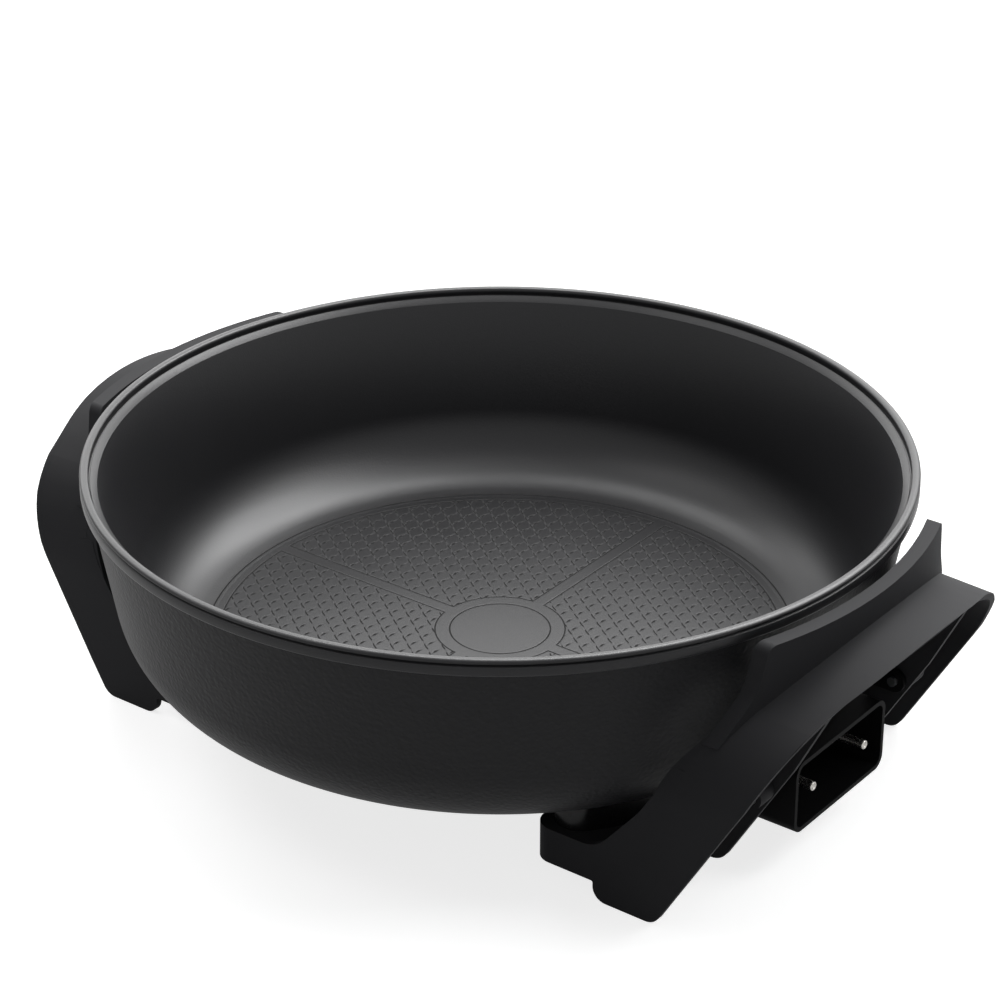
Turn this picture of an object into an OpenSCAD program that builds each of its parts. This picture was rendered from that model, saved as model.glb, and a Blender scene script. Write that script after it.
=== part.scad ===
// Deep round electric skillet: a cast pan carried by two moulded handle-and-leg units.
// The unit on the +X side holds the socket of a plug-in temperature control.
// The origin lies on the table under the pan's axis, +X points to the socket, +Z is up.

/* [Pan] */
// Outer radius of the rim
rim_r = 170; // [155:1:190]
// Height of the rim above the table
rim_h = 122.5; // [118:0.5:135]
// Depth from the rim to the cooking floor
pan_depth = 83; // [76:0.5:86]
// Thickness of the cast wall
wall_t = 4.2; // [3.2:0.1:5.5]
// Slope of the wall from the vertical, in degrees
wall_draft = 9.5; // [6:0.5:12]
// Inside radius between the cooking floor and the wall
corner_r = 33.8; // [28:0.2:38]
// Thickness of the base under the cooking floor
base_t = 8.2; // [7.6:0.1:9.5]

/* [Rim] */
// Radius of the round bead on top of the rim
bead_r = 1.9; // [1.4:0.1:2.4]
// Height of the rolled skirt on the outside
skirt_h = 6.8; // [5.6:0.1:9]
// How far the lid seat reaches inwards from the rim's outside
seat_in = 7; // [6:0.1:9]
// Depth of the lid seat's inner edge under the rim
seat_low = 5.2; // [4.4:0.1:7]

/* [Heating element] */
// Diameter of the sheathed element
sheath_d = 6.6; // [6:0.1:7]
// Metal between the element and the cooking floor
sheath_cover = 1.4; // [1:0.1:2]
// Radius of the element's ring
ring_r = 74; // [66:1:78]
// Radius of the bend from the ring into each cold leg
bend_r = 16; // [12:1:20]
// Cast metal round the element under the base
ridge_t = 2.8; // [2:0.1:4]

/* [Socket] */
// Distance between the two terminal pins
pin_pitch = 38; // [34:1:42]
// Diameter of a terminal pin
pin_d = 4; // [3.5:0.1:4.8]
// Diameter of the ceramic bush round each pin
bush_d = 9; // [8:0.1:10]
// Outside width of the socket's shroud
shroud_w = 66; // [62:1:70]
// Outside height of the socket's shroud
shroud_h = 31.7; // [29:0.1:34]
// Thickness of the shroud's wall
shroud_t = 2; // [1.6:0.1:2.6]
// Outside corner radius of the shroud
shroud_r = 5.5; // [4:0.5:8]
// How far the shroud's mouth stays behind the rim's outside
shroud_in = 3.4; // [1:0.1:6]
// How far the pins' tips stay behind the shroud's mouth
pin_in = 0.2; // [0:0.1:3]
// Bore for the sensing rod of the temperature control
probe_bore = 6.4; // [5.6:0.1:7]
// Wall of the steel sleeve round that bore
sleeve_t = 0.8; // [0.6:0.1:1.1]
// Length of the sleeve
sleeve_l = 42; // [34:1:46]
// Thickness of the steel plate behind the pins
plate_t = 1.2; // [0.8:0.1:2]

/* [Handle units] */
// Width of a unit across its two outer legs
unit_w = 182; // [172:1:190]
// Wall thickness of the moulding
shell_t = 3; // [2.4:0.1:3.6]
// How far the shelf reaches out past the rim
shelf_out = 33.5; // [28:0.5:40]
// Plan radius of the shelf's front edge
shelf_r = 200; // [150:5:220]
// Depth of the shelf's crown under the rim, at the rear of the shelf
crown_drop = 14; // [12:0.25:16]
// Radius of the crown's arch seen from the front
crown_r = 150; // [140:1:165]
// Half width of the crown's arch, where the shoulders start
crown_half = 67.9; // [64:0.5:70]
// Draft of the ribbon towards its front edge, in degrees
ribbon_draft = 2.5; // [2.5:0.5:5]
// Distance between the two inner ribs
rib_pitch = 100; // [92:1:108]
// Thickness of an inner rib
rib_t = 3; // [2.4:0.1:4]

/* [Heat shield] */
// Gap between the rim and the upright shield
shield_gap = 5.2; // [4:0.1:8]
// Thickness of the upright shield
shield_t = 6; // [4:0.1:7]
// Depth of the shield's top edge under the rim
shield_drop = 4.5; // [3:0.1:7]
// Half width of the shield at its top edge
shield_half = 62; // [56:0.5:64]

/* [Legs] */
// Height of the tray's underside above the table
foot_h = 8.2; // [6:0.1:10]
// How far the tray reaches in under the pan
tray_in = 86; // [82:0.5:88]
// Where the foot starts, inwards from the rim
foot_in = 57; // [54:0.5:60]
// Where the sloping front edge meets the table, inwards from the rim
toe_in = 28.5; // [26:0.5:31]
// Height of the slight knee in the front edge
knee_h = 61.5; // [55:0.5:68]
// How far the knee stands out past the rim
knee_out = 7.4; // [5:0.1:9]
// Radius of the tray's upright corners
tray_r = 8; // [5:0.5:10]

/* [Spacers and screws] */
// Height of the heat spacer between tray and pan base
spacer_h = 7.6; // [7:0.1:9]
// Distance from the rim's outside to the spacer's curved front
spacer_in = 36; // [34:0.5:38]
// Diameter of the screws that hold the units
screw_d = 5; // [4:0.1:5.5]
// Diameter of the pan's cast screw bosses
boss_d = 12; // [10:0.5:13]
// Sideways place of the outer screws
outer_screw_y = 70; // [68:0.5:72]
// Sideways place of the inner screws
inner_screw_y = 38; // [37:0.5:39]

/* [Hidden] */
$fn = 96;

// Clearances
fit = 0.1;          // parts that are pressed or cast together
seat_gap = 0.2;     // parts that are screwed face to face
loose = 0.4;        // parts that pass each other
rib_gap = 3;        // between the pan's wall and the ribs
shroud_gap = 1.5;   // between the pan's wall and the shroud

// Heights
floor_z = rim_h - pan_depth;
base_z = floor_z - base_t;
sheath_z = floor_z - sheath_cover - sheath_d / 2;
ridge_z = sheath_z - sheath_d / 2 - ridge_t;
tray_z = base_z - spacer_h;
crown_z = rim_h - crown_drop;

// Pan section: the drafted wall starts at the lid seat's inner edge
wall_top = [rim_r - seat_in, rim_h - seat_low];
wall_top_out = wall_top + wall_t * [cos(wall_draft), -sin(wall_draft)];
outer_corner_r = corner_r + base_t;
groove = 0.7;       // between the bead and the skirt
skirt_edge = 0.8;

// Terminals
leg_y = pin_pitch / 2;
nose_r = ring_r - leg_y - bend_r;
nose_x = ring_r - nose_r;
block_x = rim_r - 23.5;
block_w = pin_pitch + bush_d + 7;
block_top = sheath_z + sheath_d / 2 + 3;
sheath_end = block_x - 10;
bush_end = block_x + plate_t + 4;
pin_end = rim_r - shroud_in - pin_in;
pin_tip = 0.6;
stud_d = pin_d - 1;
plate_screw_d = 3;
plate_screw_y = (leg_y - bush_d / 2 + probe_bore / 2 + sleeve_t) / 2;

// Shroud, with ears on the inner ribs of the right-hand unit
half_w = unit_w / 2;
rib_y = rib_pitch / 2;
mouth_x = rim_r - shroud_in;
shroud_z = sheath_z - shroud_h / 2;
shroud_back = rim_r - 34;
shroud_top = shroud_z + shroud_h;
ear_x = rim_r - 8;
ear_z = shroud_top - 0.8;
ear_d = 10;
ear_t = 2.2;
ear_y = rib_y - rib_t / 2 - seat_gap - ear_t;
arm_x = rim_r - 17;
arm_h = 6;
boss_l = 9;
ear_screw_d = 4;
ear_head_d = 7.4;
ear_head_h = 2.6;

// Handle units
shield_in_r = rim_r + shield_gap;
shield_out_r = shield_in_r + shield_t;
shield_top = rim_h - shield_drop;
shield_l = 46;
shield_bend = 18;   // from the top edge down to where the S-curve starts
shield_flare = 4.5;
tray_x = rim_r - tray_in;
deck_x = rim_r - 35.5;
spacer_r = rim_r - spacer_in;
spacer_back = tray_x + 2;
neck_drop = 52;     // from the rim down to where the ribbon is cut free of the pan
neck_z = rim_h - neck_drop;
waist_in = 37;
waist_drop = 76;
waist = [rim_r - waist_in, rim_h - waist_drop];
waist_slope = 0.625;
lip_in = 9.5;       // bend of the front edge under the shelf, inwards from its front
lip_drop = 27.5;
rib_lift = 1.3;     // how far the ribs end above the tray's lower edge
rib_back = 1.4;     // how far the ribs stay behind the outer legs' front edge
draft_x = rim_r - 20;
draft_l = shelf_out + 22;
draft_in = draft_l * tan(ribbon_draft);
crown_angle = asin(crown_half / crown_r);
crown_cz = crown_z - crown_r;
shoulder_r = (half_w - crown_half) / (1 - sin(crown_angle));
shoulder_y = half_w - shoulder_r;
shoulder_z = crown_cz + (crown_r - shoulder_r) * cos(crown_angle);
outer_screw_in = 72;
inner_screw_in = 62;
screw_xy = [[rim_r - outer_screw_in, outer_screw_y],
            [rim_r - inner_screw_in, inner_screw_y]];
washer_t = 1;
washer_d = 11;
head_d = 9;
head_h = 3.4;

// A polygon's corner [x, y, radius] becomes an arc between its two sides
function unit(v) = v / norm(v);
function xy(p) = [p[0], p[1]];
function turn(a) = a > 180 ? a - 360 : a < -180 ? a + 360 : a;
function corner_arc(a, b, c, r, n = 8) =
    let (u = unit(a - b),
         v = unit(c - b),
         half = acos(u * v) / 2,
         centre = b + unit(u + v) * r / sin(half),
         p = b + u * r / tan(half) - centre,
         q = b + v * r / tan(half) - centre,
         start = atan2(p[1], p[0]),
         sweep = turn(atan2(q[1], q[0]) - start))
    [for (i = [0 : n]) centre + r * [cos(start + sweep * i / n), sin(start + sweep * i / n)]];
function rounded(pts) =
    let (n = len(pts))
    [for (i = [0 : n - 1])
        each (pts[i][2] == 0
            ? [xy(pts[i])]
            : corner_arc(xy(pts[(i + n - 1) % n]), xy(pts[i]), xy(pts[(i + 1) % n]), pts[i][2]))];
function arc(centre, r, from, to, n = 16) =
    [for (i = [0 : n]) let (a = from + (to - from) * i / n) centre + r * [cos(a), sin(a)]];

// Centre of the arc that joins a drafted wall through p to a floor at height low
function wall_arc_centre(p, r, low) =
    [p[0] + ((low + r - p[1]) * sin(wall_draft) - r) / cos(wall_draft), low + r];
function wall_at(p, z) = [p[0] - (p[1] - z) * tan(wall_draft), z];

module mirrored_y() {
    children();
    mirror([0, 1, 0]) children();
}

// Lays a (y, z) outline along +X
module along_x(from, length) {
    translate([from, 0, 0])
        rotate([90, 0, 90])
            linear_extrude(length) children();
}

// Lays an (x, z) outline across, centred on a distance y
module across_y(y, thickness) {
    translate([0, y + thickness / 2, 0])
        rotate([90, 0, 0])
            linear_extrude(thickness) children();
}

module rod_x(from, to, d) {
    translate([from, 0, 0])
        rotate([0, 90, 0])
            cylinder(h = to - from, d = d);
}

// ---- Pan ----

// The pan's outside grown by a gap, as a filled body of revolution
module pan_envelope(gap) {
    shift = gap * [cos(wall_draft), -sin(wall_draft)];
    corner = wall_arc_centre(wall_top_out, outer_corner_r, base_z);
    rotate_extrude()
        polygon(concat(
            [[0, base_z - gap]],
            arc(corner, outer_corner_r + gap, -90, -wall_draft),
            [wall_top_out + shift, [rim_r + gap, rim_h - skirt_h - gap],
             [rim_r + gap, rim_h + gap], [0, rim_h + gap]]));
}

module pan_outside() {
    corner = wall_arc_centre(wall_top_out, outer_corner_r, base_z);
    skirt_z = rim_h - skirt_h;
    bead = [rim_r - bead_r, rim_h - bead_r];
    rotate_extrude()
        polygon(concat(
            [[0, base_z]],
            arc(corner, outer_corner_r, -90, -wall_draft),
            [wall_at(wall_top_out, skirt_z),
             [rim_r - skirt_edge, skirt_z],
             [rim_r - skirt_edge / 2, skirt_z + skirt_edge],
             [rim_r - skirt_edge / 2, rim_h - 2 * bead_r + groove],
             [rim_r - skirt_edge / 2 - groove, rim_h - 2 * bead_r + 2 * groove]],
            arc(bead, bead_r, -20, 180),
            [[rim_r - 2 * bead_r, rim_h - 3], [0, rim_h - 3]]));
}

module pan_inside() {
    corner = wall_arc_centre(wall_top, corner_r, floor_z);
    rotate_extrude()
        polygon(concat(
            [[0, floor_z]],
            arc(corner, corner_r, -90, -wall_draft),
            [wall_top, [rim_r - 2 * bead_r - 0.2, rim_h - 3],
             [rim_r - 2 * bead_r - 0.2, rim_h + 1], [0, rim_h + 1]]));
}

module straight_x(from, to, y) {
    translate([from, y, 0])
        rotate([90, 0, 90])
            linear_extrude(to - from) children();
}

module bend(centre, r, from, angle) {
    translate(centre)
        rotate([0, 0, from])
            rotate_extrude(angle = angle)
                translate([r, 0]) children();
}

// Sweeps a section along the element: a half ring, two straights, two nose arcs,
// and on each side a bend outwards into a straight cold leg
module along_element(end) {
    bend([0, 0], ring_r, 90, 180) children();
    mirrored_y() {
        straight_x(0, nose_x, ring_r) children();
        bend([nose_x, ring_r - nose_r], nose_r, 0, 90) children();
        bend([ring_r + bend_r, leg_y + bend_r], bend_r, 180, 90) children();
        straight_x(ring_r + bend_r, end, leg_y) children();
    }
}

module element_shape(d, end) {
    translate([0, 0, sheath_z])
        along_element(end) circle(d = d, $fn = 32);
}

// The rounded ridge under the base that encloses the element
module element_ridge() {
    r = sheath_d / 2 + ridge_t;
    translate([0, 0, sheath_z])
        along_element(ring_r + bend_r + 2)
            union() {
                circle(r = r, $fn = 32);
                translate([-r, 0]) square([2 * r, base_z - sheath_z + 1]);
            }
}

module block_section(grow = 0) {
    w = block_w / 2 + grow;
    low = ridge_z - grow;
    polygon(rounded([[-w, low, 5], [w, low, 5], [w, block_top + grow, 2],
                     [-w, block_top + grow, 2]]));
}

// The cast block that carries the cold legs and the probe sleeve out to the socket
module terminal_block() {
    along_x(ring_r, block_x - ring_r) block_section();
}

module at_screws(side) {
    for (p = screw_xy)
        for (y = [-1, 1])
            translate([side * p[0], y * p[1], 0]) children();
}

module screw_bosses() {
    for (side = [-1, 1])
        at_screws(side)
            translate([0, 0, tray_z + seat_gap])
                cylinder(h = base_z - tray_z + 1, d = boss_d);
}

module pan() {
    color("#2a2a2b")
        difference() {
            union() {
                pan_outside();
                element_ridge();
                terminal_block();
                screw_bosses();
            }
            pan_inside();
            element_shape(sheath_d + 2 * fit, sheath_end);
            mirrored_y()
                translate([0, leg_y, sheath_z]) rod_x(sheath_end - 1, block_x + 1, bush_d + 2 * fit);
            translate([0, 0, sheath_z])
                rod_x(block_x + plate_t - sleeve_l - 1, block_x + 1, probe_bore + 2 * sleeve_t + 2 * fit);
            mirrored_y()
                translate([0, plate_screw_y, sheath_z]) rod_x(block_x - 9, block_x + 1, plate_screw_d + 2 * fit);
            for (side = [-1, 1])
                at_screws(side)
                    translate([0, 0, tray_z]) cylinder(h = spacer_h + base_t - 3, d = screw_d + 2 * fit);
        }
}

// ---- Element and terminals ----

module heating_element() {
    color("#8a8c8e") element_shape(sheath_d, sheath_end);
}

module pin_insulator(side) {
    color("#e4ded0")
        translate([0, side * leg_y, sheath_z])
            difference() {
                rod_x(sheath_end + fit, bush_end, bush_d);
                rod_x(sheath_end, bush_end + 1, stud_d + 2 * fit);
            }
}

// Contact pin on the thinner stud that runs through the bush
module terminal_pin(side) {
    color("#d8d8da")
        translate([0, side * leg_y, sheath_z])
            union() {
                rod_x(sheath_end + 2 * fit, bush_end + seat_gap, stud_d);
                rod_x(bush_end + seat_gap, pin_end - pin_tip, pin_d);
                translate([pin_end - pin_tip, 0, 0])
                    rotate([0, 90, 0]) cylinder(h = pin_tip, d1 = pin_d, d2 = pin_d - 2 * pin_tip);
            }
}

module probe_sleeve() {
    color("#9a9c9e")
        translate([0, 0, sheath_z])
            difference() {
                rod_x(block_x + plate_t - sleeve_l, block_x + plate_t, probe_bore + 2 * sleeve_t);
                rod_x(block_x + plate_t - sleeve_l + 2, block_x + plate_t + 1, probe_bore);
            }
}

module terminal_plate() {
    w = block_w / 2 - 1;
    color("#a9abad")
        difference() {
            along_x(block_x + fit, plate_t - fit)
                polygon(rounded([[-w, ridge_z + 1, 4], [w, ridge_z + 1, 4],
                                 [w, block_top - 1, 4], [-w, block_top - 1, 4]]));
            for (y = [-leg_y, leg_y])
                translate([0, y, sheath_z]) rod_x(block_x - 1, block_x + plate_t + 1, bush_d + 2 * fit);
            translate([0, 0, sheath_z])
                rod_x(block_x - 1, block_x + plate_t + 1, probe_bore + 2 * sleeve_t + 2 * fit);
            mirrored_y()
                translate([0, plate_screw_y, sheath_z])
                    rod_x(block_x - 1, block_x + plate_t + 1, plate_screw_d + 2 * fit);
        }
}

module terminal_plate_screws() {
    head = plate_screw_d + 1;
    color("#b9bbbd")
        mirrored_y()
            translate([0, plate_screw_y, sheath_z])
                union() {
                    rod_x(block_x - 8, block_x + plate_t + fit, plate_screw_d);
                    rod_x(block_x + plate_t + fit, block_x + plate_t + 1.5, head);
                }
}

// ---- Socket shroud ----

module shroud_section(inset) {
    w = shroud_w / 2 - inset;
    low = shroud_z + inset;
    high = shroud_z + shroud_h - inset;
    r = shroud_r - inset;
    union() {
        translate([-w, low + r]) square([2 * w, high - low - 2 * r]);
        translate([-w + r, low]) square([2 * (w - r), high - low]);
        for (y = [-1, 1])
            for (z = [low + r, high - r])
                translate([y * (w - r), z]) circle(r = r);
    }
}

// Arm from the back of the shroud to the rib, with a thin ear along the rib's face
module shroud_ear() {
    translate([shroud_back, shroud_w / 2 - shroud_t, shroud_top - arm_h])
        cube([arm_x - shroud_back, ear_y + ear_t - shroud_w / 2 + shroud_t, arm_h]);
    translate([shroud_back, ear_y, ear_z - ear_d / 2])
        cube([ear_x - shroud_back, ear_t, ear_d]);
    translate([ear_x, ear_y, ear_z])
        rotate([-90, 0, 0]) cylinder(h = ear_t, d = ear_d);
}

module socket_shroud() {
    color("#1e1e1f")
        difference() {
            union() {
                along_x(shroud_back, mouth_x - shroud_back) shroud_section(0);
                mirrored_y() shroud_ear();
            }
            along_x(shroud_back - 1, mouth_x - shroud_back + 2) shroud_section(shroud_t);
            pan_envelope(shroud_gap);
            mirrored_y()
                translate([ear_x, shroud_w / 2, ear_z])
                    rotate([-90, 0, 0]) cylinder(h = rib_y, d = ear_screw_d + 2 * fit);
        }
}

module shroud_screw(side) {
    tip = ear_y - 1.5;
    head = rib_y + rib_t / 2 + boss_l - ear_head_h - 0.8;
    color("#9c9ea0")
        translate([ear_x, 0, ear_z])
            rotate([-90 * side, 0, 0])
                union() {
                    translate([0, 0, tip]) cylinder(h = head - tip + 0.2, d = ear_screw_d);
                    difference() {
                        translate([0, 0, head]) cylinder(h = ear_head_h, d = ear_head_d);
                        translate([0, 0, head + 1]) cylinder(h = ear_head_h, d = 3.4, $fn = 6);
                    }
                }
}

// ---- Handle units ----

module cone_x(r) {
    translate([draft_x, 0, 0])
        rotate([0, 90, 0])
            cylinder(h = draft_l, r1 = r, r2 = r - draft_in, $fn = 180);
    translate([tray_x, 0, 0])
        rotate([0, 90, 0])
            cylinder(h = draft_x - tray_x, r = r, $fn = 180);
}

// The moulding's arched body, grown inwards by an inset: a crown, two shoulders and
// upright legs, all drafted towards the front. A narrower block ties them together
module arched_body(inset) {
    w = half_w - inset;
    top = crown_r + 20;
    spring = [shoulder_y, shoulder_z];
    ray = [top * sin(crown_angle), crown_cz + top * cos(crown_angle)];
    side = [half_w + 20, shoulder_z];
    mirror_y = [[-1, 0], [0, 1]];
    intersection() {
        translate([0, 0, crown_cz]) cone_x(crown_r - inset);
        along_x(tray_x, draft_x - tray_x + draft_l)
            polygon([[-shoulder_y, shoulder_z], spring, ray, ray * mirror_y]);
    }
    mirrored_y()
        intersection() {
            translate([0, shoulder_y, shoulder_z]) cone_x(shoulder_r - inset);
            along_x(tray_x, draft_x - tray_x + draft_l)
                polygon([spring, side, [side[0], ray[1]], ray]);
        }
    leg_block(w, shoulder_z);
    leg_block(w - shell_t / 2, shoulder_z + 1);
}

// Block between the drafted outer faces of the legs, up to a height
module leg_block(w, top) {
    translate([0, 0, -1])
        linear_extrude(top + 1)
            polygon([[tray_x, -w], [draft_x, -w], [draft_x + draft_l, draft_in - w],
                     [draft_x + draft_l, w - draft_in], [draft_x, w], [tray_x, w]]);
}

// Sector round the pan's axis whose front face follows a curve in short flats
module sector(r, height, centre = 0) {
    linear_extrude(height)
        polygon(concat([[0, 0]], arc([centre, 0], r, -60, 60, 48)));
}

// Side view of a unit: foot, sloping front edge with its knee, lip, neck, waist and arm
module unit_side() {
    polygon(rounded([
        [tray_x, foot_h, 0],
        [rim_r - foot_in, foot_h, 0.8],
        [rim_r - foot_in, 0, 6],
        [rim_r - toe_in, 0, 7],
        [rim_r + knee_out, knee_h, 20],
        [rim_r + shelf_out - lip_in, rim_h - lip_drop, 20],
        [rim_r + shelf_out + 8, rim_h - 8, 0],
        [waist[0] + waist_slope * (rim_h - 8 - waist[1]), rim_h - 8, 0],
        [waist[0], waist[1], 40],
        [rim_r - foot_in + 1, tray_z, 14],
        [tray_x, tray_z, 0]]));
}

// Plan outline of the tray with its two round corners under the pan
module unit_plan(inset) {
    r = tray_r - inset;
    w = half_w - inset;
    x = tray_x + inset;
    union() {
        translate([x + r, -w]) square([rim_r, 2 * w]);
        translate([x, -w + r]) square([rim_r, 2 * (w - r)]);
        for (y = [-1, 1])
            translate([x + r, y * (w - r)]) circle(r = r);
    }
}

// Arched shelf, shoulders and outer legs in one wall
module ribbon() {
    difference() {
        intersection() {
            difference() {
                arched_body(0);
                arched_body(shell_t);
            }
            across_y(0, unit_w + 2) unit_side();
            translate([0, 0, -1]) sector(shelf_r, rim_h + 2, rim_r + shelf_out - shelf_r);
        }
        translate([0, 0, neck_z]) sector(shield_in_r, rim_h);
    }
}

// Front view of the upright shield, running down into the shoulders in two S-curves
module shield_front() {
    low = shield_top - shield_l;
    polygon(rounded([
        [-shield_half - 0.5, shield_top, 4.5],
        [shield_half + 0.5, shield_top, 4.5],
        [shield_half + shield_flare, shield_top - shield_bend, 24],
        [half_w - 9, shield_top - 37, 0],
        [half_w - 12, low, 0],
        [12 - half_w, low, 0],
        [9 - half_w, shield_top - 37, 0],
        [-shield_half - shield_flare, shield_top - shield_bend, 24]]));
}

module shield() {
    difference() {
        intersection() {
            translate([0, 0, neck_z]) sector(shield_out_r, rim_h);
            along_x(draft_x, rim_r) shield_front();
        }
        translate([0, 0, neck_z - 1]) sector(shield_in_r, rim_h);
        arched_body(shell_t / 2);
    }
}

// Side view of an inner rib: it follows the front edge, but ends above the foot
module rib_side() {
    slope = (knee_out + toe_in) / knee_h;
    low = foot_h + rib_lift;
    front = rim_r - rib_back;
    polygon(rounded([
        [tray_x, low, 0],
        [front - toe_in + slope * low, low, 8],
        [front + knee_out, knee_h, 20],
        [front + shelf_out - lip_in, rim_h - lip_drop, 20],
        [front + shelf_out + 8, rim_h - 8, 0],
        [tray_x, rim_h - 8, 0]]));
}

// Inner rib, kept clear of the pan and of the spacer
module rib() {
    difference() {
        intersection() {
            across_y(rib_y, rib_t) rib_side();
            arched_body(shell_t / 2);
            sector(shelf_r, rim_h, rim_r + shelf_out - shelf_r);
        }
        pan_envelope(rib_gap);
        translate([0, 0, tray_z]) cylinder(h = spacer_h + base_t, r = spacer_r + 1);
    }
}

// Tray under the pan: deck, inner end wall and side walls with round corners
module tray() {
    deck_l = deck_x - tray_x;
    translate([0, 0, foot_h])
        linear_extrude(tray_z - foot_h)
            intersection() {
                difference() {
                    unit_plan(0);
                    unit_plan(shell_t);
                }
                translate([tray_x, -half_w]) square([deck_l / 2, unit_w]);
            }
    translate([0, 0, tray_z - shell_t])
        linear_extrude(shell_t)
            intersection() {
                unit_plan(0);
                translate([tray_x, -half_w]) square([deck_l, unit_w]);
            }
}

// Boss on a rib's outer side that takes the shroud's screw
module rib_boss() {
    translate([ear_x, rib_y - rib_t / 2, ear_z])
        rotate([-90, 0, 0]) cylinder(h = rib_t + boss_l, d = ear_d + 2);
}

module rib_boss_holes() {
    seat = rib_y + rib_t / 2 + boss_l - ear_head_h - 0.8 - fit;
    translate([ear_x, 0, ear_z])
        rotate([-90, 0, 0])
            union() {
                cylinder(h = half_w - shell_t - 1, d = ear_screw_d + 2 * fit);
                translate([0, 0, seat]) cylinder(h = boss_l, d = ear_head_d + 2 * fit);
            }
}

module unit_moulding(socket) {
    difference() {
        union() {
            intersection() {
                ribbon();
                linear_extrude(rim_h) unit_plan(0);
            }
            shield();
            mirrored_y() rib();
            tray();
            if (socket)
                mirrored_y() rib_boss();
        }
        at_screws(1)
            translate([0, 0, foot_h]) cylinder(h = tray_z, d = screw_d + 2 * loose);
        if (socket)
            mirrored_y() rib_boss_holes();
    }
}

module right_handle() {
    color("#232324") unit_moulding(true);
}

module left_handle() {
    color("#232324") rotate([0, 0, 180]) unit_moulding(false);
}

// ---- Spacers and fasteners ----

// Plan of a spacer: an arc in front, a straight back, and one round end on each side
// whose circle touches the back, the arc and the tray's inner width
module spacer_plan() {
    w = half_w - shell_t - 1;
    half_b = spacer_back - w + spacer_r;
    square_c = pow(spacer_back, 2) + pow(w, 2) - pow(spacer_r, 2);
    end_r = sqrt(pow(half_b, 2) - square_c) - half_b;
    end = [spacer_back + end_r, w - end_r];
    intersection() {
        circle(r = spacer_r, $fn = 360);
        polygon([[spacer_back, -end[1]], [end[0], -end[1]], [2 * end[0], -2 * end[1]],
                 [2 * end[0], 2 * end[1]], [end[0], end[1]], [spacer_back, end[1]]]);
    }
    for (side = [-1, 1])
        translate([end[0], side * end[1]]) circle(r = end_r);
}

module pan_spacer(socket) {
    difference() {
        translate([0, 0, tray_z]) linear_extrude(spacer_h + base_t) spacer_plan();
        pan_envelope(seat_gap);
        at_screws(1)
            translate([0, 0, tray_z - 1]) cylinder(h = spacer_h + base_t, d = boss_d + 2 * loose);
        if (socket)
            along_x(tray_x, rim_r) block_section(loose);
    }
}

module right_pan_spacer() {
    color("#1b1b1c") pan_spacer(true);
}

module left_pan_spacer() {
    color("#1b1b1c") rotate([0, 0, 180]) pan_spacer(false);
}

module handle_screws(side) {
    head_z = tray_z - shell_t - washer_t - seat_gap;
    color("#a4a6a8")
        at_screws(side)
            union() {
                translate([0, 0, head_z]) cylinder(h = base_z + base_t - 4 - head_z, d = screw_d);
                difference() {
                    translate([0, 0, head_z - head_h]) cylinder(h = head_h, d = head_d);
                    translate([0, 0, head_z - head_h - 1]) cylinder(h = 3, d = 4, $fn = 6);
                }
            }
}

module screw_washers(side) {
    color("#b3b5b7")
        at_screws(side)
            translate([0, 0, tray_z - shell_t - washer_t - seat_gap / 2])
                difference() {
                    cylinder(h = washer_t, d = washer_d);
                    translate([0, 0, -1]) cylinder(h = washer_t + 2, d = screw_d + 2 * fit);
                }
}

pan();
heating_element();
terminal_pin(-1);  // near_terminal_pin
terminal_pin(1);  // far_terminal_pin
pin_insulator(-1);  // near_pin_insulator
pin_insulator(1);  // far_pin_insulator
probe_sleeve();
terminal_plate();
terminal_plate_screws();
socket_shroud();
shroud_screw(-1);  // near_shroud_screw
shroud_screw(1);  // far_shroud_screw
right_handle();
left_handle();
right_pan_spacer();
left_pan_spacer();
handle_screws(1);  // right_handle_screws
handle_screws(-1);  // left_handle_screws
screw_washers(1);  // right_screw_washers
screw_washers(-1);  // left_screw_washers
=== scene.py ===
# %% [markdown]
# # A deep electric skillet
# The skillet is a cast pan that hangs between two moulded handle-and-leg units. Its solids come
# from the CAD frame. This notebook gives them their looks: a lathed pan with a pressed pattern on
# the cooking floor, softened edges on the mouldings, and a material for every surface.
# The frame is loaded first, so that every later size can be read from it.

# %% Load the frame
import math

import bmesh
import bpy
import numpy as np
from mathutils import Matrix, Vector


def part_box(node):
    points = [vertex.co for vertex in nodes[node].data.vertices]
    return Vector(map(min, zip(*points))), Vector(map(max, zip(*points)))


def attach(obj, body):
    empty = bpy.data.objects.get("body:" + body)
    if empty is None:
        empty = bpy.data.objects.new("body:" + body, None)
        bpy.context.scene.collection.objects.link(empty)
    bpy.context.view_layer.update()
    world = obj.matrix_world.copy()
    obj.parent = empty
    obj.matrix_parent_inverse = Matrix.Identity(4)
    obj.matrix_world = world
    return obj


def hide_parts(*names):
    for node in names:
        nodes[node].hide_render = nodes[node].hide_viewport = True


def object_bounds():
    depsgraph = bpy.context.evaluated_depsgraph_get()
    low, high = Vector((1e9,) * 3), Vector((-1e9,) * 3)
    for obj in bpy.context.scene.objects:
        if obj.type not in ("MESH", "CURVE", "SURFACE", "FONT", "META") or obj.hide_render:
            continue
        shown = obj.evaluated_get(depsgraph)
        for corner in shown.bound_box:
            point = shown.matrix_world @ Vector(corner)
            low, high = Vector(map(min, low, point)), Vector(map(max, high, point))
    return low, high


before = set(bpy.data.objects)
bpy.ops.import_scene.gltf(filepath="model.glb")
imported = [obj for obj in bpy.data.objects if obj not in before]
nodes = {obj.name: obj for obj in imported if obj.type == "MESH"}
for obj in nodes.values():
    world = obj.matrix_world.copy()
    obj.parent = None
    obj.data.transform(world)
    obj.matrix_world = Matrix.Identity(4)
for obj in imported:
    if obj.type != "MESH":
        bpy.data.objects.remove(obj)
cad_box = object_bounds()
MM = 0.001
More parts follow.
